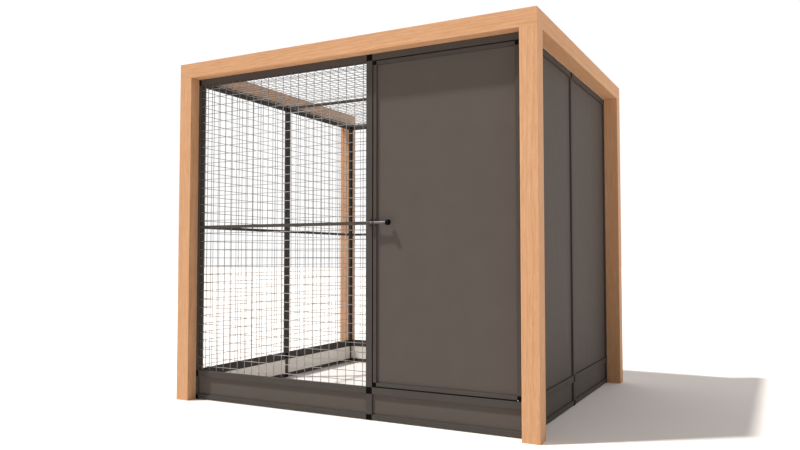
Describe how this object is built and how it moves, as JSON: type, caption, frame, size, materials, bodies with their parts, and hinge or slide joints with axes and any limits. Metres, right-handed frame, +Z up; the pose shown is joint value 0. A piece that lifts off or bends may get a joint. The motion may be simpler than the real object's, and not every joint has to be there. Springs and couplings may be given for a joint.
{
  "type": "walk-in animal pen",
  "caption": "Walk-in pen: timber portal around a square-tube frame with wire mesh bays, solid side and roof panels, a kick board all round and a hinged front door with a slide bolt.",
  "frame": {"origin": "centre of the footprint over the timber posts, at ground level", "axes": "+Z up, -Y is the front with the door, +X is the door's hinge side"},
  "size_m": [2.56, 2.16, 2.312],
  "materials": {
    "timber": "planed beech-coloured glued timber, oiled, satin",
    "frame_tube": "anthracite powder coat, fine satin texture",
    "panel_sheet": "warm dark grey coated sheet, matt",
    "connector_plastic": "black glass-filled nylon",
    "knob_plastic": "black moulded plastic",
    "bush_plastic": "black nylon",
    "lining_board": "pale beige wipe-clean board",
    "mesh_wire": "galvanised welded wire",
    "bright_steel": "bright zinc-plated steel"
  },
  "bodies": {
    "frame": {"front_left_post": "timber", "front_right_post": "timber", "back_left_post": "timber", "back_right_post": "timber", "front_beam": "timber", "left_beam": "timber", "right_beam": "timber", "beam_dowels": "timber", "front_left_upright": "frame_tube", "front_right_upright": "frame_tube", "back_left_upright": "frame_tube", "back_right_upright": "frame_tube", "front_mid_upright": "frame_tube", "back_mid_upright": "frame_tube", "side_mid_uprights": "frame_tube", "kick_uprights": "frame_tube", "front_top_rails": "frame_tube", "back_top_rails": "frame_tube", "side_top_rails": "frame_tube", "front_kick_rails": "frame_tube", "back_kick_rails": "frame_tube", "side_kick_rails": "frame_tube", "floor_rails": "frame_tube", "mid_rails": "frame_tube", "roof_rails": "frame_tube", "top_corner_connectors": "connector_plastic", "top_mid_connectors": "connector_plastic", "roof_centre_connector": "connector_plastic", "kick_connectors": "connector_plastic", "floor_connectors": "connector_plastic", "frame_feet": "connector_plastic", "front_mesh": "mesh_wire", "left_mesh": "mesh_wire", "back_mesh": "mesh_wire", "roof_mesh": "mesh_wire", "right_wall_panels": "panel_sheet", "back_wall_panel": "panel_sheet", "roof_panels": "panel_sheet", "retaining_beads": "frame_tube", "front_kick_boards": "panel_sheet", "back_kick_boards": "panel_sheet", "side_kick_boards": "panel_sheet", "kick_linings": "lining_board", "post_bolts": "bright_steel", "bolt_hole_caps": "frame_tube", "pivot_bushes": "bush_plastic", "door_stops": "frame_tube", "bolt_keeper": "frame_tube", "keeper_screws": "frame_tube"},
    "door": {"door_latch_stile": "frame_tube", "door_hinge_stile": "frame_tube", "door_rails": "frame_tube", "door_connectors": "connector_plastic", "door_panel": "panel_sheet", "door_beads": "frame_tube", "pivot_pins": "bright_steel", "bolt_guide": "frame_tube", "guide_screws": "frame_tube"},
    "bolt": {"bolt_rod": "bright_steel", "bolt_knob": "knob_plastic"}
  },
  "joints": [
    {"name": "door_swing", "type": "hinge", "parent": "frame", "child": "door", "pos_m": [1.141, -0.992, 0.2], "axis": [0, 0, 1], "range_deg": [0, 105]},
    {"name": "bolt_slide", "type": "slide", "parent": "door", "child": "bolt", "axis": [1, 0, 0], "range_m": [0, 0.03]}
  ]
}
